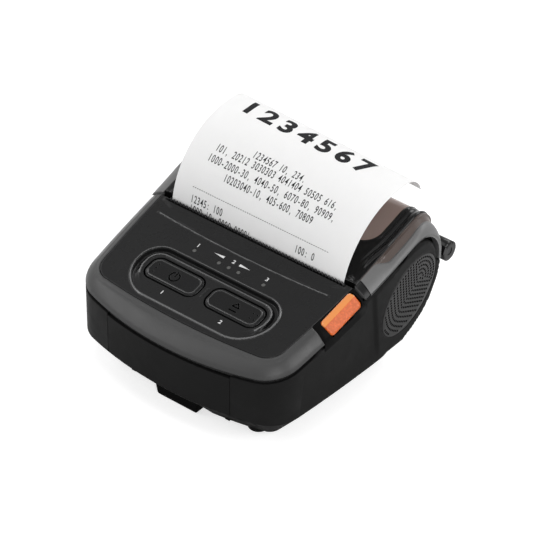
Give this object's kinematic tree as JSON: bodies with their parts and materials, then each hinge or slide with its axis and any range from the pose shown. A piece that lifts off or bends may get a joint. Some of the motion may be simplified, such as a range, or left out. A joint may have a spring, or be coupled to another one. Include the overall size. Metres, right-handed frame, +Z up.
{
  "type": "portable receipt printer",
  "caption": "Portable receipt printer with a hinged paper cover, sloping key panel, orange side release button, printed paper strip and belt clip.",
  "frame": {"origin": "on the table under the centre of the outline, between the front of the battery and the rear of the hinge barrel", "axes": "+X to the printer's right, across the paper; +Y to the rear, towards the cover's hinge; +Z up"},
  "size_m": [0.1008, 0.1064, 0.0751],
  "materials": {
    "black_plastic": "fine texture",
    "panel_plastic": "satin",
    "grey_band": "fine texture",
    "orange_plastic": "satin",
    "key_rubber": "satin",
    "smoked_window": "smoked, clear",
    "steel": "plain",
    "aluminium": "plain",
    "ceramic": "glazed",
    "rubber": "matt",
    "gear_plastic": "natural",
    "paper": "smooth thermal paper",
    "card": "plain",
    "board": "lacquered",
    "light_pipe": "frosted",
    "brass": "plain",
    "cell_plastic": "fine texture"
  },
  "bodies": {
    "base": {"lower_case": "black_plastic", "upper_case": "panel_plastic", "front_trim": "grey_band", "latch_bezel": "panel_plastic", "tear_bar": "steel", "latch_pin": "steel", "latch_spring": "steel", "key_switches": "steel", "indicator_lights": "light_pipe", "main_board": "board", "shield_can": "steel", "buzzer": "black_plastic", "side_grille_right": "grey_band", "side_grille_left": "grey_band", "battery_bay": "black_plastic", "battery_terminals": "brass", "mechanism_frame": "steel", "head_pin": "steel", "head_springs": "steel", "feed_motor": "steel", "idler_stud": "steel", "roll_bucket": "panel_plastic", "paper_sensor": "black_plastic", "paper_web": "paper", "hinge_rod": "steel", "belt_clip_pin": "steel", "belt_clip_spring": "steel", "feet": "rubber", "case_screws": "steel", "charging_socket": "black_plastic", "data_socket": "steel", "socket_board": "board"},
    "cover": {"cover_frame": "black_plastic", "cover_window": "smoked_window", "cover_trim_right": "grey_band", "cover_trim_left": "grey_band", "platen_bushes": "gear_plastic", "printed_strip": "paper"},
    "platen": {"platen_roller": "rubber", "platen_shaft": "steel", "platen_gear": "gear_plastic"},
    "roll": {"paper_roll": "paper", "roll_core": "card"},
    "idler": {"idler_gear": "gear_plastic"},
    "motor": {"motor_shaft": "steel", "motor_pinion": "brass"},
    "battery": {"battery_pack": "cell_plastic", "battery_front": "black_plastic"},
    "power_key": {"power_button": "key_rubber"},
    "feed_key": {"feed_button": "key_rubber"},
    "latch_key": {"latch_button": "orange_plastic"},
    "lever": {"latch_lever": "steel"},
    "head": {"head_plate": "aluminium", "thermal_head": "ceramic"},
    "clip": {"belt_clip": "black_plastic"},
    "flap": {"port_flap": "rubber"}
  },
  "joints": [
    {"name": "cover_hinge", "type": "hinge", "parent": "base", "child": "cover", "pos_m": [0, 0.0493, 0.038], "axis": [-1, 0, 0], "range_deg": [0, 100]},
    {"name": "platen_spin", "type": "hinge", "parent": "cover", "child": "platen", "pos_m": [0, 0.0042, 0.0395], "axis": [-1, 0, 0], "continuous": true},
    {"name": "roll_spin", "type": "hinge", "parent": "base", "child": "roll", "pos_m": [0, 0.0222, 0.0266], "axis": [-1, 0, 0], "continuous": true},
    {"name": "idler_spin", "type": "hinge", "parent": "base", "child": "idler", "pos_m": [-0.0443, 0.00374, 0.02551], "axis": [-1, 0, 0], "continuous": true},
    {"name": "motor_spin", "type": "hinge", "parent": "base", "child": "motor", "pos_m": [-0.0443, -0.0026, 0.01591], "axis": [-1, 0, 0], "continuous": true},
    {"name": "battery_slide", "type": "slide", "parent": "base", "child": "battery", "axis": [0, -1, 0], "range_m": [0, 0.04]},
    {"name": "power_press", "type": "slide", "parent": "base", "child": "power_key", "axis": [0, 0.212, -0.9773], "range_m": [0, 0.0005], "stiffness_N_per_m": 1500, "springref_m": -0.0005},
    {"name": "feed_press", "type": "slide", "parent": "base", "child": "feed_key", "axis": [0, 0.212, -0.9773], "range_m": [0, 0.0005], "stiffness_N_per_m": 1500, "springref_m": -0.0005},
    {"name": "latch_press", "type": "slide", "parent": "base", "child": "latch_key", "axis": [-0.6463, 0.1618, -0.7457], "range_m": [0, 0.0018], "stiffness_N_per_m": 900, "springref_m": -0.001},
    {"name": "lever_swing", "type": "hinge", "parent": "base", "child": "lever", "pos_m": [0.0444, 0.0005, 0.03], "axis": [1, 0, 0], "range_deg": [0, 8.1]},
    {"name": "head_tilt", "type": "hinge", "parent": "base", "child": "head", "pos_m": [0, -0.0034, 0.0254], "axis": [1, 0, 0], "range_deg": [0, 4], "stiffness_Nm_per_rad": 1.5, "springref_deg": -3.44, "deforming": ["head_springs"]},
    {"name": "clip_hinge", "type": "hinge", "parent": "base", "child": "clip", "pos_m": [0, 0.0025, 0.003], "axis": [1, 0, 0], "range_deg": [0, 12], "stiffness_Nm_per_rad": 0.3, "springref_deg": -5.73},
    {"name": "flap_hinge", "type": "hinge", "parent": "base", "child": "flap", "pos_m": [-0.04887, -0.02526, 0.0176], "axis": [0.0712, -0.9975, 0], "range_deg": [0, 100]}
  ],
  "couplings": [
    {"joint": "platen_spin", "follows": "roll_spin", "ratio": 4.1429},
    {"joint": "idler_spin", "follows": "roll_spin", "ratio": -2.3016},
    {"joint": "motor_spin", "follows": "roll_spin", "ratio": 8.2857},
    {"joint": "lever_swing", "follows": "latch_press", "rad_per_m": 77.6}
  ]
}
